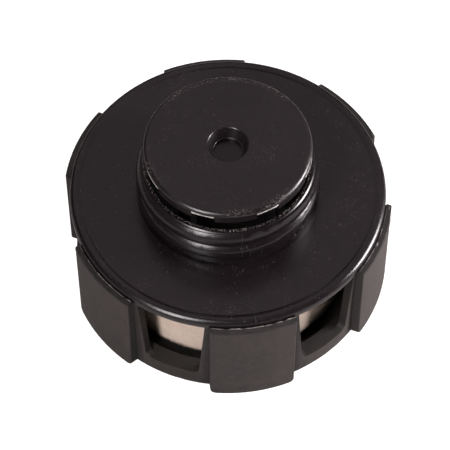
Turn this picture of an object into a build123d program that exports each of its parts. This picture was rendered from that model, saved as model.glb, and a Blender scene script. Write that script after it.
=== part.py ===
"""Filler breather for a hydraulic tank, standing on its closed face with the neck up.

A round cover with six grip lugs and six air windows holds a filter ring. It snaps onto a
base whose flange carries a coarse threaded neck. Inside, a web across the neck carries a
two-way valve, and a baffle plate on legs keeps oil from splashing into the neck.
Millimetres. The origin is the centre of the closed face, and +Z runs along the neck.
"""
from build123d import *
from math import cos, radians, sin
import os

# ---- cover -------------------------------------------------------------------------
cover_radius = 64.5          # outside of the wall
cover_height = 48.2          # closed face to the rim that meets the flange
cover_wall = 3.5
cover_floor = 3.5
cover_edge = 1.2             # rounding of the closed edge
ledge_width = 3.2            # ring round the floor, inside the wall
sill_height = 9.2            # top of that ring and of each window sill
window_count = 6
window_top_width = 29.6      # across the opening at the outside of the wall
window_sill_width = 23.6
window_corner = 3.0
floor_rib_height = 0.6
floor_rib_width = 2.0
floor_rib_margin = 2.8       # from the end of a rib to the outside of the filter
locator_height = 6.0         # ring on the floor that centres the filter
locator_wall = 1.6
locator_clearance = 0.4      # that ring inside the filter's bore

# ---- grip lugs on the cover ---------------------------------------------------------
lug_width = 35.0
lug_proud = 3.0              # beyond the wall at the top
lug_flare = 0.6              # more at the closed face, as draft
lug_rise = 1.1               # above the cover's rim, round the flange
lug_corner = 2.4
lug_edge = 0.5               # rounding round the outer face
lug_skin = 3.4               # wall left outside the pocket behind each lug
pocket_side = 4.5            # wall left each side of that pocket
catch_drop = 6.3             # rim down to the top of the catch rib
catch_thickness = 2.2
catch_depth = 1.6

# ---- base: flange, neck and valve web -----------------------------------------------
flange_proud = 0.5           # beyond the cover's wall
flange_rim = 4.6             # thickness at the bead round the rim
flange_edge = 0.6            # bevel under the rim
flange_dish = 0.5            # flat face below the top of the bead
bead_outer_round = 2.4
bead_inner_width = 2.0       # from the top of the bead to the flat face
spigot_thickness = 2.3
spigot_depth = 5.0
hook_width = 14.0
hook_thickness = 1.8
hook_nose = 1.4
hook_nose_height = 4.6
thread_crest = 37.3          # radius over the thread
thread_depth = 2.0
thread_pitch = 9.0
thread_ridge = 8.2           # width of the round ridge at its root
thread_end_margin = 1.0      # from the lip down to the ridge's middle where it runs out
thread_start = 53.9          # height of the ridge's middle where it leaves the flange
neck_wall = 2.1              # below the thread
neck_height = 72.0           # closed face to the lip
foot_groove_depth = 0.6      # round the foot of the neck, under the thread
foot_groove_margin = 0.4     # beyond the thread's crest
lip_round = 0.5
web_thickness = 3.0
port_radius = 22.0
seat_width = 1.2
seat_height = 0.6

# ---- baffle ---------------------------------------------------------------------------
baffle_radius = 33.8
baffle_top = 83.1            # closed face to the outside of the plate
baffle_thickness = 2.2
baffle_edge = 1.7            # rounding of the plate's outer edge
tab_count = 8
tab_depth = 3.0
tab_thickness = 1.6
tab_angle = 28.6             # the part of each 45 degree share that a tab fills
tab_phase = -93.5            # direction of one tab
recess_mouth = 8.2           # radius of the conical recess at the outside
recess_mouth_round = 0.7
recess_throat = 6.2          # radius at the lower end of the cone
recess_cone_depth = 4.2
recess_pit_radius = 5.8      # round pit under the cone
recess_pit_depth = 1.6
recess_pit_round = 0.35      # edge between cone and pit
recess_wall = 1.6
leg_count = 4
leg_angle = 14.0
leg_inner = 23.0
leg_thickness = 4.5
foot_height = 3.0
boss_radius = 3.0            # outside each leg, round its screw
boss_cover = 1.6             # boss beyond the end of the screw
bore_clearance = 0.3         # foot ring inside the neck

# ---- filter element -------------------------------------------------------------------
air_gap = 4.5                # between the ledge and the filter, where air spreads
lower_cap_thickness = 1.2
upper_cap_thickness = 1.7
cap_rim = 1.0                # rim of the upper cap round the felt
cap_rim_height = 5.7
media_inner = 38.0
core_wall = 1.0
core_clearance = 0.1
core_hole = 2.2
core_columns = 20
core_rows = 3
element_bore = 35.0
pad_thickness = 1.0
pad_inner = 38.0
filter_seal_thickness = 1.3
filter_seal_width = 4.5
filter_seal_inset = 2.3      # inside the outer face of the media

# ---- valve ------------------------------------------------------------------------------
cage_radius = 27.2           # outside of the cage's wall
cage_wall = 1.7
cage_flange_radius = 34.0
cage_flange = 1.8
cage_depth = 23.8            # underside of the web to the bottom of the cage
cage_bottom = 1.6
cage_hole = 6.0
cage_slot_width = 24.0
cage_slot_margin = 3.0
screw_circle = 30.2
screw_radius = 1.5
screw_hole = 1.8
screw_length = 14.0
screw_head_radius = 2.7
screw_head_height = 2.0
screw_drive = 1.4
pilot_clearance = 0.05
relief_radius = 24.6
relief_thickness = 1.8
relief_seal_thickness = 1.2
relief_seal_width = 3.6
relief_vent_radius = 1.8
relief_vent_circle = 7.0
relief_vent_count = 4
relief_ring_radius = 15.5    # rim that centres the spring on the plate
relief_ring_wall = 1.2
relief_spring_radius = 17.6
relief_wire = 1.6
relief_turns = 4.5
vacuum_radius = 10.5
vacuum_thickness = 1.5
vacuum_seal_thickness = 0.8
vacuum_seal_inner = 4.6
stem_radius = 2.2
stem_length = 14.0           # below the underside of the relief plate's seat
stem_clearance = 0.05
groove_height = 1.0
clip_radius = 4.4
vacuum_spring_radius = 3.4
vacuum_wire = 0.6
vacuum_turns = 5.0
stem_end = 1.2               # stem below its clip

# ---- worked out -------------------------------------------------------------------------
cover_inner = cover_radius - cover_wall
ledge_inner = cover_inner - ledge_width
flange_radius = cover_radius + flange_proud
element_radius = ledge_inner - air_gap
floor_rib_outer = element_radius - floor_rib_margin
locator_outer = element_bore - locator_clearance
window_step = 360 / window_count
lug_directions = [-90 + window_step * i for i in range(window_count)]
window_directions = [angle + window_step / 2 for angle in lug_directions]
lug_top_radius = cover_radius + lug_proud
lug_top = cover_height + lug_rise
flange_face = cover_height + flange_rim - flange_dish
thread_root = thread_crest - thread_depth
neck_bore = thread_root - neck_wall
web_top = cover_height + web_thickness
baffle_under = baffle_top - baffle_thickness
foot_outer = neck_bore - bore_clearance
leg_outer = leg_inner + leg_thickness
screw_end = cover_height - cage_flange + screw_length
pad_bottom = cover_floor + floor_rib_height
element_bottom = pad_bottom + pad_thickness
element_top = cover_height - filter_seal_thickness
media_bottom = element_bottom + lower_cap_thickness
media_top = element_top - upper_cap_thickness
media_radius = element_radius - cap_rim
filter_seal_outer = media_radius - filter_seal_inset
core_radius = media_inner - core_clearance
seat_face = cover_height - seat_height
relief_top = seat_face - relief_seal_thickness
relief_under = relief_top - relief_thickness
cage_floor_top = cover_height - cage_depth + cage_bottom
vacuum_under = relief_top + vacuum_seal_thickness


def around(shape, directions):
    """Copies of a shape turned about the axis."""
    return [Rot(0, 0, angle) * shape for angle in directions]


def ring(outer, inner, low, high):
    """A plain ring between two heights."""
    wall = Cylinder(outer, high - low) - Cylinder(inner, high - low)
    return Pos(0, 0, (low + high) / 2) * wall


def disc(radius, low, high):
    return Pos(0, 0, (low + high) / 2) * Cylinder(radius, high - low)


def sector(outer, inner, low, high, angle):
    """A piece of a ring that is centred on +X."""
    half = radians(angle / 2)
    reach = outer * 2
    wedge = Polygon((0, 0), (reach, -reach * sin(half) / cos(half)),
                    (reach, reach * sin(half) / cos(half)), align=None)
    return ring(outer, inner, low, high) & Pos(0, 0, low) * extrude(wedge, high - low)


def turned(outline):
    """Revolves a closed outline drawn in the XZ plane about the axis."""
    return revolve(make_face(outline), Axis.Z)


# ---- cover ------------------------------------------------------------------------------
def window_outline(distance):
    """Trapezoid with round lower corners on the plane that faces +X at a distance."""
    scale = distance / cover_radius
    top = window_top_width * scale / 2
    low = window_sill_width * scale / 2
    head = lug_top - sill_height
    grow = (top - low) / (cover_height - sill_height) * head
    outline = Polygon((-low, 0), (low, 0), (low + grow, head), (-low - grow, head), align=None)
    outline = fillet(outline.vertices().group_by(Axis.Y)[0], window_corner)
    plane = Plane(origin=(distance, 0, sill_height), x_dir=(0, 1, 0), z_dir=(1, 0, 0))
    return plane * outline


def window_cutter():
    return loft([window_outline(ledge_inner - ledge_width), window_outline(lug_top_radius + lug_proud)])


def lug_blank():
    """One grip lug, facing +X: square at the top, round at the lower corners."""
    outline = Pos(0, lug_top / 2) * Rectangle(lug_width, lug_top)
    outline = fillet(outline.vertices().group_by(Axis.Y)[0], lug_corner)
    plane = Plane(origin=(cover_inner + 1, 0, 0), x_dir=(0, 1, 0), z_dir=(1, 0, 0))
    return extrude(plane * outline, lug_top_radius)


def make_lug():
    """The blank cut to the cover's round, with its outer face rounded at the sides."""
    envelope = Pos(0, 0, lug_top / 2) * Cone(lug_top_radius + lug_flare, lug_top_radius, lug_top)
    lug = lug_blank() & envelope
    face = lug.faces().filter_by(GeomType.CONE)[0]
    sides = face.edges().filter_by(lambda edge: abs(edge.center().Z - lug_top) > lug_edge)
    return fillet(sides, lug_edge)


def lug_pocket():
    """Hollow behind one lug, open to the inside, with the catch rib left standing."""
    width = lug_width - 2 * pocket_side
    depth = lug_top_radius - lug_skin - cover_inner
    height = cover_height - sill_height
    hollow = Pos(cover_inner + depth / 2, 0, sill_height + height / 2) * Box(depth, width, height)
    near = Pos(cover_inner - 1, 0, sill_height + height / 2) * Box(2, width, height)
    rib_top = cover_height - catch_drop
    rib = Pos(cover_inner + depth - catch_depth / 2, 0, rib_top - catch_thickness / 2) * Box(
        catch_depth, width, catch_thickness)
    return hollow + near - rib


def make_cover():
    wall = disc(cover_radius, 0, cover_height)
    wall = fillet(wall.edges().sort_by(Axis.Z)[0], cover_edge)
    body = wall + around(make_lug(), lug_directions)
    body -= disc(flange_radius + bore_clearance, cover_height, lug_top)
    body -= disc(cover_inner, sill_height, lug_top)
    body -= disc(ledge_inner, cover_floor, lug_top)
    body -= around(window_cutter(), window_directions)
    body -= around(lug_pocket(), lug_directions)
    rib_inner = locator_outer - locator_wall / 2
    rib_length = floor_rib_outer - rib_inner
    rib = Pos(rib_inner + rib_length / 2, 0, cover_floor + floor_rib_height / 2) * Box(
        rib_length, floor_rib_width, floor_rib_height)
    body += around(rib, window_directions)
    body += ring(locator_outer, locator_outer - locator_wall, cover_floor, cover_floor + locator_height)
    return body


# ---- base -------------------------------------------------------------------------------
def base_profile():
    """Section of flange, neck and web from the port round to the lip and back."""
    rim_top = cover_height + flange_rim
    crest = flange_radius - bead_outer_round
    inner = crest - bead_inner_width
    sweep_radius = (bead_inner_width ** 2 + flange_dish ** 2) / (2 * flange_dish)
    half_width = bead_inner_width / 2
    half_drop = sweep_radius - (sweep_radius ** 2 - half_width ** 2) ** 0.5
    foot_radius = thread_crest + foot_groove_margin
    foot_floor = flange_face - foot_groove_depth
    arc = cos(radians(45))
    bead = ThreePointArc((flange_radius, 0, rim_top - bead_outer_round),
                         (crest + bead_outer_round * arc, 0, rim_top - bead_outer_round * (1 - arc)),
                         (crest, 0, rim_top))
    bead += ThreePointArc((crest, 0, rim_top), (crest - half_width, 0, rim_top - half_drop),
                          (inner, 0, flange_face))
    return bead + Polyline((inner, 0, flange_face),
                           (foot_radius, 0, flange_face),
                           (foot_radius, 0, foot_floor),
                           (thread_root, 0, foot_floor),
                           (thread_root, 0, neck_height - lip_round),
                           (thread_root - lip_round, 0, neck_height),
                           (neck_bore, 0, neck_height),
                           (neck_bore, 0, web_top),
                           (port_radius, 0, web_top),
                           (port_radius, 0, cover_height),
                           (flange_radius - flange_edge, 0, cover_height),
                           (flange_radius, 0, cover_height + flange_edge),
                           (flange_radius, 0, rim_top - bead_outer_round))


def thread_ridge_solid():
    """Round ridge wound right-handed up the neck from the flange."""
    rise = neck_height - thread_end_margin - thread_start
    path = Helix(pitch=thread_pitch, height=rise, radius=thread_root, center=(0, 0, thread_start))
    half = thread_ridge / 2
    bury = neck_wall / 2
    crest = ThreePointArc((thread_root, 0, thread_start - half), (thread_crest, 0, thread_start),
                          (thread_root, 0, thread_start + half))
    back = Polyline((thread_root, 0, thread_start + half), (thread_root - bury, 0, thread_start + half),
                    (thread_root - bury, 0, thread_start - half), (thread_root, 0, thread_start - half))
    ridge = sweep(make_face(crest + back), path=path, is_frenet=True)
    return Rot(0, 0, 90) * ridge


def hook():
    """One snap hook, facing +X, whose nose catches under the rib in a lug's pocket."""
    leg_inner_face = cover_inner - bore_clearance - hook_thickness / 3
    leg_outer_face = leg_inner_face + hook_thickness
    nose_top = cover_height - catch_drop - catch_thickness - bore_clearance
    nose_low = nose_top - hook_nose_height
    outline = Polygon((leg_inner_face, cover_height + 1), (leg_inner_face, nose_low),
                      (leg_outer_face - hook_thickness / 2, nose_low),
                      (leg_outer_face + hook_nose, nose_top - hook_nose_height / 3),
                      (leg_outer_face + hook_nose, nose_top), (leg_outer_face, nose_top),
                      (leg_outer_face, cover_height + 1), align=None)
    return Pos(0, hook_width / 2, 0) * extrude(Plane.XZ * outline, hook_width)


def make_base():
    body = turned(base_profile())
    spigot_outer = cover_inner - bore_clearance
    body += ring(spigot_outer, spigot_outer - spigot_thickness, cover_height - spigot_depth, cover_height)
    body += ring(port_radius + seat_width, port_radius, seat_face, cover_height)
    thread = thread_ridge_solid() - disc(thread_crest * 2, neck_height - lip_round, neck_height + thread_pitch)
    thread -= disc(thread_crest * 2, 0, web_top)
    body += thread
    body += around(hook(), lug_directions)
    hole = Pos(screw_circle, 0, (cover_height + web_top) / 2) * Cylinder(screw_hole, web_thickness * 2)
    return body - around(hole, leg_directions())


# ---- baffle -----------------------------------------------------------------------------
def leg_directions():
    """Each leg stands behind the middle of a tab."""
    return [tab_phase + 360 / tab_count + 360 / leg_count * i for i in range(leg_count)]


def make_baffle():
    plate = disc(baffle_radius, baffle_under, baffle_top)
    plate = fillet(plate.edges().sort_by(Axis.Z)[-1], baffle_edge)
    tab = sector(baffle_radius, baffle_radius - tab_thickness, baffle_under - tab_depth, baffle_under,
                 tab_angle)
    plate += around(tab, [tab_phase + 360 / tab_count * i for i in range(tab_count)])
    cone_low = baffle_top - recess_cone_depth
    pit_low = cone_low - recess_pit_depth
    boss = disc(recess_mouth + recess_wall, pit_low - recess_wall, baffle_under)
    cone = Pos(0, 0, (baffle_top + cone_low) / 2) * Cone(recess_throat, recess_mouth, recess_cone_depth)
    body = plate + boss - cone
    mouth = body.edges().filter_by(GeomType.CIRCLE).filter_by(
        lambda e: abs(e.radius - recess_mouth) < 0.01 and abs(e.center().Z - baffle_top) < 0.01)
    body = fillet(mouth, recess_mouth_round) - disc(recess_pit_radius, pit_low, cone_low)
    throat = body.edges().filter_by(GeomType.CIRCLE).filter_by(
        lambda e: abs(e.radius - recess_pit_radius) < 0.01 and abs(e.center().Z - cone_low) < 0.01)
    body = fillet(throat, recess_pit_round)
    leg = sector(leg_outer, leg_inner, web_top, baffle_under, leg_angle)
    leg += Pos(screw_circle, 0, 0) * disc(boss_radius, web_top, screw_end + boss_cover)
    leg = leg & disc(foot_outer, web_top, baffle_under)
    body += around(leg, leg_directions())
    body += ring(foot_outer, leg_inner, web_top, web_top + foot_height)
    pilot = Pos(screw_circle, 0, 0) * disc(screw_radius + pilot_clearance, web_top, screw_end)
    return body - around(pilot, leg_directions())


# ---- filter element ---------------------------------------------------------------------
def make_lower_cap():
    cap = ring(media_radius, element_bore, element_bottom, media_bottom)
    cap += ring(core_radius - core_wall - core_clearance, element_bore, media_bottom,
                media_bottom + cap_rim_height)
    return fillet(cap.edges().group_by(Axis.Z)[0], lower_cap_thickness / 3)


def make_upper_cap():
    rim_low = element_top - cap_rim_height
    cap = ring(element_radius, element_bore, media_top, element_top)
    cap += ring(element_radius, media_radius, rim_low, media_top)
    cap += ring(core_radius - core_wall - core_clearance, element_bore, rim_low, media_top)
    return cap


def make_core():
    """Perforated tube: rows of round holes, each row turned half a step."""
    tube = ring(core_radius, core_radius - core_wall, media_bottom, media_top)
    step = 360 / core_columns
    span = (media_top - media_bottom) / (core_rows + 1)
    drill = Rot(0, 90, 0) * Cylinder(core_hole, core_wall * 6)
    for row in range(core_rows):
        at = Pos(core_radius - core_wall / 2, 0, media_bottom + span * (row + 1)) * drill
        tube -= around(at, [step * (column + 0.5 * (row % 2)) for column in range(core_columns)])
    return tube


# ---- valve ------------------------------------------------------------------------------
def make_cage():
    low = cover_height - cage_depth
    flange_low = cover_height - cage_flange
    cage = ring(cage_flange_radius, cage_radius - cage_wall, flange_low, cover_height)
    cage += ring(cage_radius, cage_radius - cage_wall, low, flange_low)
    cage += ring(cage_radius, cage_hole, low, cage_floor_top)
    slot_low = cage_floor_top + cage_slot_margin
    slot_high = flange_low - cage_slot_margin
    slot = Pos(cage_radius, 0, (slot_low + slot_high) / 2) * Box(
        cage_wall * 6, cage_slot_width, slot_high - slot_low)
    cage -= around(slot, [angle + 45 for angle in leg_directions()])
    hole = Pos(screw_circle, 0, cover_height) * Cylinder(screw_hole, cage_flange * 4)
    return cage - around(hole, leg_directions())


def make_screw():
    """Pan head screw, head down under the cage's flange, facing +X on the screw circle."""
    under = cover_height - cage_flange
    shank = disc(screw_radius, under, under + screw_length)
    head = disc(screw_head_radius, under - screw_head_height, under)
    head = fillet(head.edges().group_by(Axis.Z)[0], screw_head_height / 3)
    drive = disc(screw_drive, under - screw_head_height, under - screw_head_height / 2)
    return Pos(screw_circle, 0, 0) * (shank + head - drive)


def make_relief_plate():
    plate = disc(relief_radius, relief_under, relief_top)
    plate += ring(relief_ring_radius, relief_ring_radius - relief_ring_wall,
                  relief_under - relief_ring_wall, relief_under)
    vent = Pos(relief_vent_circle, 0, (relief_under + relief_top) / 2) * Cylinder(
        relief_vent_radius, relief_thickness * 2)
    plate -= around(vent, [360 / relief_vent_count * i for i in range(relief_vent_count)])
    return plate - disc(stem_radius + stem_clearance, relief_under - 1, relief_top + 1)


def coil(radius, wire, low, high, turns):
    """A compression spring between two heights."""
    rise = high - low - wire
    path = Helix(pitch=rise / turns, height=rise, radius=radius, center=(0, 0, low + wire / 2))
    plane = Plane(origin=path @ 0, z_dir=path % 0)
    return sweep(plane * Circle(wire / 2), path=path, is_frenet=True)


def clip_top():
    return relief_under - stem_length + stem_end + groove_height


def make_vacuum_valve():
    low = relief_under - stem_length
    valve = disc(vacuum_radius, vacuum_under, vacuum_under + vacuum_thickness)
    valve = fillet(valve.edges().group_by(Axis.Z)[-1], vacuum_thickness / 3)
    valve += disc(stem_radius, low, vacuum_under)
    groove = ring(stem_radius * 2, stem_radius * 0.7, clip_top() - groove_height, clip_top())
    return valve - groove


# ---- write the parts --------------------------------------------------------------------
screws = around(make_screw(), leg_directions())
nodes = {
    "cover": make_cover(),
    "base": make_base(),
    "baffle": make_baffle(),
    "filter_media": ring(media_radius, media_inner, media_bottom, media_top),
    "filter_core": make_core(),
    "filter_lower_cap": make_lower_cap(),
    "filter_upper_cap": make_upper_cap(),
    "filter_seal": ring(filter_seal_outer, filter_seal_outer - filter_seal_width, element_top, cover_height),
    "filter_pad": ring(floor_rib_outer, pad_inner, pad_bottom, element_bottom),
    "spring_cage": make_cage(),
    "cage_screws": Compound(children=screws),
    "relief_plate": make_relief_plate(),
    "relief_seal": ring(relief_radius - 0.4, relief_radius - 0.4 - relief_seal_width, relief_top, seat_face),
    "relief_spring": coil(relief_spring_radius, relief_wire, cage_floor_top, relief_under, relief_turns),
    "vacuum_valve": make_vacuum_valve(),
    "vacuum_seal": ring(vacuum_radius, vacuum_seal_inner, relief_top, vacuum_under),
    "vacuum_clip": ring(clip_radius, stem_radius * 0.7, clip_top() - groove_height, clip_top()),
    "vacuum_spring": coil(vacuum_spring_radius, vacuum_wire, clip_top(), relief_under, vacuum_turns),
}

os.makedirs("parts", exist_ok=True)
for name, solid in nodes.items():
    export_step(solid, f"parts/{name}.step")
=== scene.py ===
from math import atan2, cos, degrees, pi, radians, sin
from random import Random

import bmesh
import bpy
from mathutils import Matrix, Vector


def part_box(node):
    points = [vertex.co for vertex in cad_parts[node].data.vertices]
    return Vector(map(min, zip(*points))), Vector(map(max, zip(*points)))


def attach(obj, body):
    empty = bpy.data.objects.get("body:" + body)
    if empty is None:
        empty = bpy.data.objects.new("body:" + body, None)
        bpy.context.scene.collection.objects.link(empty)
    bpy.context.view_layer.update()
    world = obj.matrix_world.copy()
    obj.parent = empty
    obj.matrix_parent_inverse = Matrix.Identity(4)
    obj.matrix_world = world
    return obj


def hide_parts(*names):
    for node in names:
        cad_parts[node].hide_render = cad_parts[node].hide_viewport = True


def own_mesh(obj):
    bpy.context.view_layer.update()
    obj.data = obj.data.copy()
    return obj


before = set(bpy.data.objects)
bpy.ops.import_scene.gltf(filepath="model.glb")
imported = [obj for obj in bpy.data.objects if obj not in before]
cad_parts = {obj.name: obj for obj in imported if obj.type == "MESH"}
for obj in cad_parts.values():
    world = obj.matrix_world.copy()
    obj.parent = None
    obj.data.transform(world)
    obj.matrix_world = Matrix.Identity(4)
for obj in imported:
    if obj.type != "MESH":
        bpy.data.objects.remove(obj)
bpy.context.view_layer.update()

# ---- cover -------------------------------------------------------------------------
# The cup with six grip lugs and six air windows is one moulding in black nylon. Its
# outside has a fine spark texture that scatters light, and dust has settled in it.
cover_low, cover_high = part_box("cover")
base_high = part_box("base")[1]
flange_radius = base_high[0]
lug_count = 6
lug_step = 360.0 / lug_count
front_lug = -90.0            # direction of the lug that faces -Y
lug_top = cover_high[2]
lug_radius = -cover_low[1]   # outside of the front lug at its top
wall_radius = 0.0645         # outside of the wall between the lugs
dust_colour = (0.36, 0.32, 0.29, 1)
streak_scale = 0.012         # metres for each radian round the axis, so that streaks run long


def shader(name):
    """An empty material with its tree and shader."""
    material = bpy.data.materials.new(name)
    material.use_nodes = True
    tree = material.node_tree
    return material, tree, tree.nodes["Principled BSDF"]


def put(tree, kind, inputs=None, **settings):
    """Adds a node, sets its fields, and fills or links its inputs."""
    node = tree.nodes.new(kind)
    for field, value in settings.items():
        setattr(node, field, value)
    for socket, value in (inputs or {}).items():
        if isinstance(value, bpy.types.NodeSocket):
            tree.links.new(value, node.inputs[socket])
        else:
            node.inputs[socket].default_value = value
    return node


def noise(tree, at, scale, detail=3.0, roughness=0.55, distortion=0.0):
    node = put(tree, "ShaderNodeTexNoise", {"Vector": at, "Scale": scale, "Detail": detail,
                                            "Roughness": roughness, "Distortion": distortion})
    return node.outputs["Fac"]


def remap(tree, value, low, high, to_low=0.0, to_high=1.0):
    """Runs from to_low to to_high as the value goes from low to high, and no further."""
    node = put(tree, "ShaderNodeMapRange", {0: value, 1: low, 2: high, 3: to_low, 4: to_high})
    return node.outputs[0]


def calc(tree, kind, a, b=0.0):
    return put(tree, "ShaderNodeMath", {0: a, 1: b}, operation=kind).outputs[0]


def product(tree, value, *factors):
    for factor in factors:
        value = calc(tree, "MULTIPLY", value, factor)
    return value


def blend_colour(tree, factor, a, b):
    node = put(tree, "ShaderNodeMix", {0: factor, 6: a, 7: b}, data_type="RGBA")
    return node.outputs[2]


def own_place(tree):
    return put(tree, "ShaderNodeTexCoord").outputs["Object"]


def height_up(tree, at):
    return put(tree, "ShaderNodeSeparateXYZ", {0: at}).outputs[2]


def distance_out(tree, at):
    """How far a place lies from the neck's axis."""
    flat = put(tree, "ShaderNodeVectorMath", {0: at, 1: (1, 1, 0)}, operation="MULTIPLY")
    return put(tree, "ShaderNodeVectorMath", {0: flat.outputs[0]}, operation="LENGTH").outputs[1]


def turn_round(tree, at):
    """Where a place lies round the neck's axis, in radians."""
    split = put(tree, "ShaderNodeSeparateXYZ", {0: at})
    return calc(tree, "ARCTAN2", split.outputs[1], split.outputs[0])


def streak_place(tree, at):
    """A place told round, out and up, so that a pattern read there is drawn out round the axis."""
    turn = product(tree, turn_round(tree, at), streak_scale)
    return put(tree, "ShaderNodeCombineXYZ",
               {0: turn, 1: distance_out(tree, at), 2: height_up(tree, at)}).outputs[0]


def specks(tree, at, scale, size, share):
    """A mask of small round specks in a few of the cells of a Voronoi pattern."""
    cell = put(tree, "ShaderNodeTexVoronoi", {"Vector": at, "Scale": scale})
    dot = remap(tree, cell.outputs["Distance"], size, size * 0.5)
    lot = put(tree, "ShaderNodeSeparateColor", {0: cell.outputs["Color"]}).outputs[0]
    return product(tree, dot, calc(tree, "GREATER_THAN", lot, 1 - share))


def dust_film(tree, at):
    """Fine dust that lies in clusters, most of it on what faces up."""
    facing = remap(tree, height_up(tree, put(tree, "ShaderNodeNewGeometry").outputs["Normal"]),
                   0.0, 0.7, 0.35, 1.0)
    fine = remap(tree, noise(tree, at, 1900.0, detail=2.0, roughness=0.6), 0.63, 0.70)
    cluster = remap(tree, noise(tree, at, 70.0, detail=5.0, roughness=0.8), 0.50, 0.85)
    return product(tree, fine, cluster, facing)


def dust_grains(tree, at, share):
    """Single grains in two sizes; half as large a share of the small cells holds one."""
    large = specks(tree, at, 380.0, 0.06, share)
    small = specks(tree, at, 900.0, 0.14, share * 0.5)
    return calc(tree, "MAXIMUM", large, small)


def hairlines(tree, at, cloud):
    """Faint scratches in patches: lines where a warped noise crosses its middle."""
    warped = noise(tree, at, 24.0, detail=1.5, roughness=0.4, distortion=2.5)
    from_middle = calc(tree, "ABSOLUTE", calc(tree, "SUBTRACT", warped, 0.5))
    return product(tree, remap(tree, from_middle, 0.0022, 0.0), remap(tree, cloud, 0.5, 0.6))


def moulded(name, dark, light, rough, grain, depth, dust, grains, marks=()):
    """Black moulded plastic: even tone, fine skin, dust, grains, hairlines and its own marks."""
    material, tree, skin = shader(name)
    at = own_place(tree)
    cloud = noise(tree, at, 30.0)
    mottle = noise(tree, at, 330.0, detail=4.0, roughness=0.65)
    uneven = calc(tree, "ADD", product(tree, cloud, 0.4), product(tree, mottle, 0.6))
    colour = blend_colour(tree, remap(tree, uneven, 0.38, 0.62), dark, light)
    for mask, strength in ((dust_film(tree, at), dust), (dust_grains(tree, at, grains), 0.45),
                           (hairlines(tree, at, cloud), 0.05)):
        colour = blend_colour(tree, product(tree, mask, strength), colour, dust_colour)
    wear = remap(tree, cloud, 0.3, 0.7, rough - 0.04, rough + 0.05)
    for mark in marks:
        mask, mark_colour, mark_rough = mark(tree, at)
        colour = blend_colour(tree, mask, colour, mark_colour)
        shift = product(tree, mask, calc(tree, "SUBTRACT", mark_rough, wear))
        wear = calc(tree, "ADD", wear, shift)
    tree.links.new(colour, skin.inputs["Base Color"])
    tree.links.new(wear, skin.inputs["Roughness"])
    bump = put(tree, "ShaderNodeBump", {"Strength": 1.0, "Distance": depth,
                                        "Height": noise(tree, at, grain, roughness=0.6)})
    tree.links.new(bump.outputs[0], skin.inputs["Normal"])
    return material


def finish_node(name, material):
    """Gives a carried-over node its finish."""
    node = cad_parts[name]
    node.data.materials.clear()
    node.data.materials.append(material)


def lug_tops(tree, at):
    return remap(tree, height_up(tree, at), lug_top - 0.0004, lug_top - 0.0001)


def lug_top_streaks(tree, at):
    """Dark streaks on the tops of the lugs."""
    torn = noise(tree, streak_place(tree, at), 1700.0, detail=4.0, roughness=0.7)
    streak = remap(tree, torn, 0.40, 0.56, 1.0, 0.35)
    return product(tree, lug_tops(tree, at), streak), (0.004, 0.0035, 0.003, 1), 0.8


def torn_flecks(tree, at):
    """Bright flecks of broken plastic among those streaks."""
    flecks = specks(tree, streak_place(tree, at), 900.0, 0.22, 0.10)
    return product(tree, flecks, 0.7, lug_tops(tree, at)), (0.4, 0.38, 0.36, 1), 0.3


def painted_shade_inside(tree, at):
    """Painted shade inside the windows, on the sills and on the floor of the cup: a dark sheet over the
    plastic within the wall.
    """
    inside = remap(tree, distance_out(tree, at), wall_radius - 0.0001, wall_radius - 0.0006)
    below = remap(tree, height_up(tree, at), lug_top - 0.0012, lug_top - 0.0018)
    return product(tree, inside, below, 0.85), (0.0045, 0.0034, 0.0022, 1), 0.70


def painted_shade_corners(tree, at):
    """Painted shade on the sides of the lugs and on the strips of wall between lug and window."""
    window_side, strip_middle, lug_side = 11.2, 13.4, 15.0
    turn = product(tree, turn_round(tree, at), 180 / pi)
    from_lug = calc(tree, "FLOORED_MODULO", calc(tree, "SUBTRACT", turn, front_lug), lug_step)
    from_window = calc(tree, "ABSOLUTE", calc(tree, "SUBTRACT", from_lug, lug_step / 2))
    strip = product(tree, remap(tree, from_window, window_side, strip_middle),
                    remap(tree, from_window, lug_side + 0.05, lug_side - 0.05))
    patches = remap(tree, noise(tree, at, 900.0, detail=4.0, roughness=0.7), 0.35, 0.6, 0.55, 1.0)
    return product(tree, strip, patches, 0.85), (0.0050, 0.0038, 0.0034, 1), 0.75


cover_plastic = moulded("cover_plastic", (0.0130, 0.0092, 0.0085, 1), (0.0315, 0.0245, 0.0228, 1),
                        rough=0.50, grain=1500.0, depth=0.00010, dust=0.30, grains=0.10,
                        marks=(painted_shade_corners, lug_top_streaks, torn_flecks, painted_shade_inside))
finish_node("cover", cover_plastic)


def pick(found):
    """In edit mode, selects the vertices for which a test is true."""
    mesh = bmesh.from_edit_mesh(bpy.context.object.data)
    for vertex in mesh.verts:
        vertex.select = bool(found(vertex.co))
    mesh.select_flush_mode()
    bmesh.update_edit_mesh(bpy.context.object.data)


def group(name, found):
    """A vertex group of the points for which a test is true."""
    piece = bpy.context.object
    points = piece.vertex_groups.new(name=name)
    points.add([v.index for v in piece.data.vertices if found(v.co)], 1.0, "REPLACE")


def ragged(points, tear, strength, depth=2):
    """Moves a vertex group up and down by a cloud pattern, and keeps the result."""
    piece = bpy.context.object
    texture = bpy.data.textures.new(piece.name + "_ragged", "CLOUDS")
    texture.noise_scale = tear
    texture.noise_depth = depth
    wave = piece.modifiers.new("ragged", "DISPLACE")
    wave.texture = texture
    wave.direction = "Z"
    wave.strength = strength
    wave.mid_level = 0.5
    wave.vertex_group = points
    bpy.ops.object.modifier_apply(modifier=wave.name)


def thicken(thickness, offset=0.0):
    """Gives an open surface a wall; offset is 0 for both sides of it and -1 for its inside."""
    piece = bpy.context.object
    wall = piece.modifiers.new("wall", "SOLIDIFY")
    wall.thickness = thickness
    wall.offset = offset
    bpy.ops.object.modifier_apply(modifier=wall.name)


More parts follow.
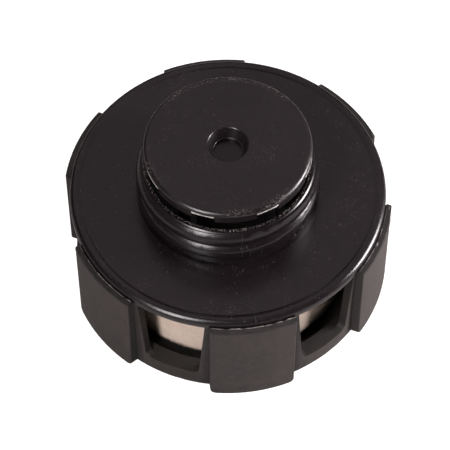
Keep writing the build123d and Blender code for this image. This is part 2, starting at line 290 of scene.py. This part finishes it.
def settle(material, body="housing", smooth=30.0):
    """Applies the piece's place, gives it its finish and slot, and lets it ride."""
    piece = bpy.context.object
    bpy.ops.object.transform_apply(location=True, rotation=True, scale=True)
    bpy.ops.object.shade_smooth_by_angle(angle=radians(smooth))
    piece.data.materials.clear()
    piece.data.materials.append(material)
    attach(piece, body)


def near_direction(co, first, step, half):
    """True where a point's direction is within half degrees of one of a round of directions."""
    turned = (degrees(atan2(co[1], co[0])) - first) % step
    return min(turned, step - turned) <= half


fin_points = 1440            # round a full circle
fin_thickness = 0.00014
all_round = 1.0              # beyond the object, so that no fin is left out
front_only = 0.0


def arc_fin(name, radius, height, rise, first, step, half, tear, strength, furthest):
    """Thin ragged fins on arcs round the axis, up to a furthest Y, where a mould did not close."""
    bpy.ops.object.select_all(action="DESELECT")
    bpy.ops.mesh.primitive_circle_add(vertices=fin_points, radius=radius, location=(0, 0, height))
    bpy.context.object.name = name
    bpy.ops.object.mode_set(mode="EDIT")
    pick(lambda co: co[1] > furthest or not near_direction(co, first, step, half))
    bpy.ops.mesh.delete(type="VERT")
    bpy.ops.mesh.select_all(action="SELECT")
    bpy.ops.mesh.extrude_region_move(TRANSFORM_OT_translate={"value": (0, 0, rise)})
    bpy.ops.object.mode_set(mode="OBJECT")
    group("edge", lambda co: abs(co[2] - rise) < abs(rise) / 2)
    ragged("edge", tear, strength)
    thicken(fin_thickness)


flash_plastic = moulded("flash_plastic", (0.05, 0.047, 0.045, 1), (0.30, 0.28, 0.27, 1),
                        rough=0.35, grain=3000.0, depth=0.00004, dust=0.3, grains=0.3)
flash_foot = lug_top - 0.0002
arc_fin("lug_outer_flash", lug_radius - 0.0002, flash_foot, 0.00030, front_lug, lug_step, 14.5,
        tear=0.0030, strength=0.0005, furthest=front_only)
settle(cover_plastic)
arc_fin("lug_inner_flash", flange_radius + 0.0005, flash_foot, 0.00045, front_lug, lug_step, 15.0,
        tear=0.0022, strength=0.0018, furthest=front_only)
settle(flash_plastic)

# ---- base --------------------------------------------------------------------------
# The flange and the threaded neck are one smoother moulding in the same nylon. The
# ridges and the round rim shine, and the mould's parting line crosses them in front.
lip = base_high[2]
neck_length = 0.0197         # flat face of the flange to the lip
flange_face = lip - neck_length
neck_bore = 0.0332
thread_crest = 0.0373


def lip_painted_highlight(tree, at):
    """A painted highlight: pale dots round the lip's inner edge."""
    edge = product(tree, remap(tree, height_up(tree, at), lip - 0.0006, lip - 0.0003),
                   remap(tree, distance_out(tree, at), neck_bore + 0.0013, neck_bore + 0.0009))
    dots = specks(tree, at, 2400.0, 0.45, 0.5)
    return product(tree, dots, 0.6, edge), (0.5, 0.46, 0.43, 1), 0.5


def painted_shade_bore(tree, at):
    """Painted shade that darkens the bore, the web and the valve's seat."""
    inside = remap(tree, distance_out(tree, at), neck_bore + 0.0004, neck_bore + 0.0001)
    below = remap(tree, height_up(tree, at), lip - 0.0002, lip - 0.0015)
    return product(tree, inside, below), (0.002, 0.0017, 0.0017, 1), 0.85


base_plastic = moulded("base_plastic", (0.0056, 0.0038, 0.0044, 1), (0.0082, 0.0060, 0.0066, 1),
                       rough=0.23, grain=1800.0, depth=0.00003, dust=0.50, grains=0.10,
                       marks=(lip_painted_highlight, painted_shade_bore))
finish_node("base", base_plastic)
witness_plastic = moulded("witness_plastic", (0.010, 0.0080, 0.0086, 1), (0.022, 0.019, 0.020, 1),
                          rough=0.50, grain=2500.0, depth=0.00003, dust=0.3, grains=0.1)


def witness_line(name, direction, start, end, width, proud, pressed):
    """A raised hair on the base: a strip pressed on it along Y or Z and given a thickness."""
    bpy.ops.object.select_all(action="DESELECT")
    bpy.ops.mesh.primitive_grid_add(x_subdivisions=2, y_subdivisions=90, size=1.0)
    strip = bpy.context.object
    strip.name = name
    run = Vector(end) - Vector(start)
    strip.scale = (width, run.length, 1.0)
    strip.location = (Vector(start) + Vector(end)) / 2
    if pressed == "y":
        strip.rotation_euler = (radians(90), 0, 0)
    bpy.ops.object.transform_apply(location=True, rotation=True, scale=True)
    strip.rotation_euler = (0, 0, radians(direction - front_lug))
    wrap = strip.modifiers.new("laid", "SHRINKWRAP")
    wrap.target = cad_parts["base"]
    wrap.wrap_method = "PROJECT"
    wrap.use_project_y = pressed == "y"
    wrap.use_project_z = pressed == "z"
    wrap.use_positive_direction = pressed == "y"
    wrap.use_negative_direction = pressed == "z"
    wrap.offset = proud / 2
    bpy.ops.object.modifier_apply(modifier=wrap.name)
    thicken(proud)
    settle(witness_plastic)


line_foot = flange_face + 0.0042
line_front = -thread_crest - 0.0015
neck_lines = ((-90.0, lip - 0.0009), (-85.0, flange_face + 0.0078), (-77.5, flange_face + 0.0074))
for number, (direction, line_top) in enumerate(neck_lines, 1):
    witness_line(f"neck_witness_line_{number}", direction, (0, line_front, line_foot),
                 (0, line_front, line_top), width=0.00018, proud=0.00008, pressed="y")
bead_width = 0.0045
witness_line("rim_witness_line", -89.0, (0, -flange_radius + 0.0001, lip),
             (0, -flange_radius + bead_width, lip), width=0.00022, proud=0.00007, pressed="z")

# ---- baffle ------------------------------------------------------------------------
# The splash plate with its round recess and drip tabs, moulded in the same plastic. Its
# rim is scuffed, and pale fins in the gaps between the tabs are a painted highlight.
plate_radius, plate_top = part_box("baffle")[1][0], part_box("baffle")[1][2]
plate_thickness = 0.0022
plate_under = plate_top - plate_thickness
front_tab = -93.5
tab_step = 45.0
tab_gap_half = 8.2
recess_mouth = 0.0082


def edge_scuffs(tree, at):
    """Short pale fibres raised round the plate's rim."""
    edge = product(tree, remap(tree, distance_out(tree, at), plate_radius - 0.0034, plate_radius - 0.0016),
                   remap(tree, height_up(tree, at), plate_top - 0.0020, plate_top - 0.0008))
    worn = remap(tree, noise(tree, at, 55.0, roughness=0.6), 0.44, 0.62)
    fibres = remap(tree, noise(tree, at, 1300.0, roughness=0.75), 0.55, 0.66)
    return product(tree, edge, worn, product(tree, fibres, 0.55)), (0.45, 0.40, 0.36, 1), 0.7


def painted_shade_under_plate(tree, at):
    """Painted shade on everything under the plate."""
    below = remap(tree, height_up(tree, at), plate_under + 0.0001, plate_under - 0.0001)
    out = distance_out(tree, at)
    covered = product(tree, remap(tree, out, plate_radius - 0.0006, plate_radius - 0.0016),
                      remap(tree, out, recess_mouth, recess_mouth + 0.0004))
    return product(tree, below, covered), (0.0015, 0.0012, 0.0012, 1), 0.9


baffle_plastic = moulded("baffle_plastic", (0.0060, 0.0040, 0.0046, 1), (0.0086, 0.0062, 0.0068, 1),
                         rough=0.30, grain=1900.0, depth=0.00003, dust=0.60, grains=0.09,
                         marks=(edge_scuffs, painted_shade_under_plate))
finish_node("baffle", baffle_plastic)
painted_highlight_plastic = moulded("painted_highlight_plastic", (0.20, 0.19, 0.18, 1), (0.70, 0.67, 0.64, 1),
                           rough=0.4, grain=3000.0, depth=0.00004, dust=0.3, grains=0.3)
# Pale fins hung in the gaps between the tabs: a painted highlight for the bright edges there.
arc_fin("tab_gap_painted_highlight", plate_radius, plate_under + 0.0003, -0.0007, front_tab + tab_step / 2,
        tab_step, tab_gap_half, tear=0.0018, strength=0.0009, furthest=all_round)
settle(painted_highlight_plastic)

# ---- filter element ----------------------------------------------------------------
# A ring of cream felt stands on a thin black cap on the floor of the cup. The felt's
# lower edge is uneven, and loose fibres hang from it inside each window.
media_low, media_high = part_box("filter_media")
felt_radius = media_high[0]
felt_wall = 0.0132
felt_foot = media_low[2]
felt_height = media_high[2] - felt_foot


def felt(name):
    """Matted cream fibres, stained in clouds, with painted shade along the lower edge."""
    material, tree, skin = shader(name)
    at = own_place(tree)
    fibre = noise(tree, at, 900.0, detail=5.0, roughness=0.7)
    stain = noise(tree, at, 60.0)
    colour = blend_colour(tree, remap(tree, stain, 0.4, 0.7),
                          (0.62, 0.51, 0.43, 1), (0.50, 0.405, 0.335, 1))
    colour = blend_colour(tree, remap(tree, fibre, 0.45, 0.62, 0.0, 0.35), colour, (0.38, 0.30, 0.24, 1))
    uneven = calc(tree, "ADD", height_up(tree, at), remap(tree, fibre, 0.3, 0.7, -0.0012, 0.0012))
    # Painted shade along the felt's foot, where it stands in the dark gap inside the wall.
    painted_foot_shade = remap(tree, uneven, felt_foot + 0.0022, felt_foot - 0.0002)
    colour = blend_colour(tree, product(tree, painted_foot_shade, 0.8), colour, (0.06, 0.045, 0.035, 1))
    tree.links.new(colour, skin.inputs["Base Color"])
    skin.inputs["Roughness"].default_value = 0.9
    skin.inputs["Specular IOR Level"].default_value = 0.2
    bump = put(tree, "ShaderNodeBump", {"Strength": 1.0, "Distance": 0.00012, "Height": fibre})
    tree.links.new(bump.outputs[0], skin.inputs["Normal"])
    return material


def plain(name, colour, other, rough, metal=0.0, scale=300.0, depth=0.00002):
    """A quiet finish for pieces inside: two near tones, uneven gloss and a fine bump."""
    material, tree, skin = shader(name)
    tone = noise(tree, own_place(tree), scale, detail=4.0, roughness=0.6)
    two_tone = blend_colour(tree, remap(tree, tone, 0.35, 0.65), colour, other)
    tree.links.new(two_tone, skin.inputs["Base Color"])
    gloss = remap(tree, tone, 0.3, 0.7, rough - 0.06, rough + 0.06)
    tree.links.new(gloss, skin.inputs["Roughness"])
    skin.inputs["Metallic"].default_value = metal
    bump = put(tree, "ShaderNodeBump", {"Strength": 1.0, "Distance": depth, "Height": tone})
    tree.links.new(bump.outputs[0], skin.inputs["Normal"])
    return material


filter_felt = felt("filter_felt")
bpy.ops.object.select_all(action="DESELECT")
bpy.ops.mesh.primitive_cylinder_add(vertices=360, radius=felt_radius, depth=felt_height,
                                    end_fill_type="NOTHING", location=(0, 0, felt_foot + felt_height / 2))
felt_ring = bpy.context.object
felt_ring.name = "felt_ring"
bpy.ops.object.mode_set(mode="EDIT")
bpy.ops.mesh.select_all(action="SELECT")
bpy.ops.mesh.subdivide(number_cuts=2)
bpy.ops.object.mode_set(mode="OBJECT")
group("foot", lambda co: co[2] < -felt_height * 0.45)
ragged("foot", tear=0.0022, strength=0.0010, depth=3)
thicken(felt_wall, offset=-1.0)
settle(filter_felt, smooth=60.0)
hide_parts("filter_media")

fibre_count = 90             # in each window
fibre_length = 0.0011
fibre_root = 0.00007
fibre_spread = 14.0          # degrees each side of the window's middle
draw = Random(7)
strands = []
bpy.ops.object.select_all(action="DESELECT")
bpy.ops.mesh.primitive_cone_add(vertices=4, radius1=fibre_root, radius2=fibre_root / 5, depth=fibre_length)
strand = bpy.context.object
for window in range(lug_count):
    window_middle = front_lug + lug_step / 2 + lug_step * window
    for number in range(fibre_count):
        direction = radians(window_middle + draw.uniform(-fibre_spread, fibre_spread))
        copy = strand.copy()
        copy.data = strand.data.copy()
        bpy.context.collection.objects.link(copy)
        lean = draw.uniform(-0.9, 0.9)
        out = draw.uniform(0.1, 0.7)
        size = draw.uniform(0.5, 1.2)
        root = Vector((cos(direction), sin(direction), 0)) * (felt_radius + 0.0001)
        root.z = felt_foot + draw.uniform(-0.0002, 0.0014)
        turn = (Matrix.Rotation(direction, 4, "Z") @ Matrix.Rotation(pi - out, 4, "Y")
                @ Matrix.Rotation(lean, 4, "X"))
        hang = Matrix.Translation((0, 0, fibre_length * size * 0.3))
        copy.data.transform(Matrix.Translation(root) @ turn @ hang @ Matrix.Scale(size, 4))
        copy.matrix_world = Matrix.Identity(4)
        strands.append(copy)
bpy.data.objects.remove(strand)
bpy.ops.object.select_all(action="DESELECT")
for copy in strands:
    copy.select_set(True)
bpy.context.view_layer.objects.active = strands[0]
bpy.ops.object.join()
bpy.context.object.name = "felt_fibres"
settle(filter_felt)

cap_compound = plain("cap_compound", (0.010, 0.008, 0.008, 1), (0.018, 0.015, 0.014, 1), rough=0.6)
finish_node("filter_lower_cap", cap_compound)
finish_node("filter_upper_cap", cap_compound)
zinc_plate = plain("zinc_plate", (0.55, 0.55, 0.56, 1), (0.43, 0.43, 0.45, 1), rough=0.35, metal=1.0)
finish_node("filter_core", zinc_plate)
seal_rubber = plain("seal_rubber", (0.018, 0.018, 0.018, 1), (0.03, 0.03, 0.03, 1), rough=0.7)
finish_node("filter_seal", seal_rubber)
pad_foam = plain("pad_foam", (0.05, 0.05, 0.05, 1), (0.09, 0.09, 0.09, 1), rough=0.9,
                 scale=1500.0, depth=0.0001)
finish_node("filter_pad", pad_foam)

# ---- two-way valve -----------------------------------------------------------------
# Under the web in the neck: a moulded cage, the blackened relief plate with its spring,
# and the small inlet valve in its middle.
cage_plastic = plain("cage_plastic", (0.02, 0.02, 0.02, 1), (0.035, 0.034, 0.033, 1), rough=0.5)
finish_node("spring_cage", cage_plastic)
black_steel = plain("black_steel", (0.008, 0.007, 0.007, 1), (0.016, 0.015, 0.014, 1),
                    rough=0.55, metal=0.2)
finish_node("cage_screws", black_steel)
finish_node("relief_plate", black_steel)
finish_node("relief_seal", seal_rubber)
finish_node("vacuum_seal", seal_rubber)
spring_wire = plain("spring_wire", (0.35, 0.35, 0.36, 1), (0.25, 0.25, 0.26, 1), rough=0.3, metal=1.0)
finish_node("vacuum_clip", spring_wire)
valve_plastic = plain("valve_plastic", (0.03, 0.028, 0.027, 1), (0.045, 0.042, 0.040, 1), rough=0.5)
finish_node("vacuum_valve", valve_plastic)


def coil(node, body):
    """A spring's mesh, copied with its doubled points merged and given its finish, that rides with its
    body.
    """
    spring = bpy.data.objects.new(node + "_coil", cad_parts[node].data.copy())
    bpy.context.collection.objects.link(spring)
    bpy.ops.object.select_all(action="DESELECT")
    spring.select_set(True)
    bpy.context.view_layer.objects.active = spring
    bpy.ops.object.mode_set(mode="EDIT")
    bpy.ops.mesh.select_all(action="SELECT")
    bpy.ops.mesh.remove_doubles(threshold=0.000001)
    bpy.ops.object.mode_set(mode="OBJECT")
    settle(spring_wire, body)
    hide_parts(node)
    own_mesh(spring)


coil("relief_spring", "housing")
coil("vacuum_spring", "relief_valve")

# ---- floor, light and camera -------------------------------------------------------
# A white table under a wide lamp behind and a soft lamp at each side. The camera looks
# down on it from a little left of the front.
bpy.ops.object.select_all(action="DESELECT")
bpy.ops.mesh.primitive_plane_add(size=6.0, location=(0, 0, -0.0002))
floor = bpy.context.object
floor.name = "floor"
material, tree, skin = shader("white_table")
tree.nodes.remove(skin)
seen = put(tree, "ShaderNodeLightPath").outputs["Is Camera Ray"]
matt = put(tree, "ShaderNodeBsdfDiffuse", {"Color": (0.40, 0.385, 0.375, 1)})
glow = put(tree, "ShaderNodeEmission", {"Strength": product(tree, seen, 0.9)})
table_top = put(tree, "ShaderNodeAddShader", {0: matt.outputs[0], 1: glow.outputs[0]})
tree.links.new(table_top.outputs[0], tree.nodes["Material Output"].inputs["Surface"])
floor.data.materials.append(material)

scene = bpy.context.scene
scene.view_settings.view_transform = "Standard"
world = bpy.data.worlds.new("studio")
scene.world = world
world.use_nodes = True
tree = world.node_tree
seen = put(tree, "ShaderNodeLightPath").outputs["Is Camera Ray"]
height = height_up(tree, put(tree, "ShaderNodeTexCoord").outputs["Generated"])
fade = remap(tree, height, 0.1, 0.85, 0.22, 0.86)
tree.links.new(calc(tree, "MAXIMUM", fade, seen), tree.nodes["Background"].inputs["Strength"])

view_azimuth = -8.86
view_elevation = 57.6
view_distance = 0.827
view_shift_right = 0.00115
view_shift_up = 0.01471
aim_drop = 0.0215            # from the lip to the place that the camera and the lamps face
target = Vector((0, 0, lip - aim_drop))


def outwards(azimuth, elevation):
    """From the object towards a place round it; azimuth 0 is in front, at -Y."""
    a, e = radians(azimuth), radians(elevation)
    return Vector((sin(a) * cos(e), -cos(a) * cos(e), sin(e)))


def softbox(name, azimuth, elevation, width, height, power, colour, distance=0.9):
    """A square-cornered soft lamp that faces the object."""
    bpy.ops.object.light_add(type="AREA", location=target + outwards(azimuth, elevation) * distance)
    lamp = bpy.context.object
    lamp.name = name
    lamp.data.shape = "RECTANGLE"
    lamp.data.size = width
    lamp.data.size_y = height
    lamp.data.energy = power
    lamp.data.color = colour
    lamp.rotation_mode = "QUATERNION"
    lamp.rotation_quaternion = outwards(azimuth, elevation).to_track_quat("Z", "Y")


softbox("softbox_right", 82, 16, width=0.34, height=0.50, power=19.0, colour=(1.0, 0.95, 0.97))
softbox("softbox_left", -40, 36, width=0.22, height=0.66, power=9.0, colour=(1.0, 0.95, 0.96))
softbox("softbox_back", 171, 57, width=2.0, height=1.6, power=4.2, colour=(1.0, 0.86, 0.90), distance=1.2)

back = outwards(view_azimuth, view_elevation)
right = Vector((cos(radians(view_azimuth)), sin(radians(view_azimuth)), 0))
up = back.cross(right)
eye = target + back * view_distance - right * view_shift_right - up * view_shift_up
bpy.ops.object.camera_add(location=eye)
camera = bpy.context.object
camera.rotation_mode = "QUATERNION"
camera.rotation_quaternion = back.to_track_quat("Z", "Y")
camera.data.sensor_width = 36.0
camera.data.lens = 161.0
scene.camera = camera
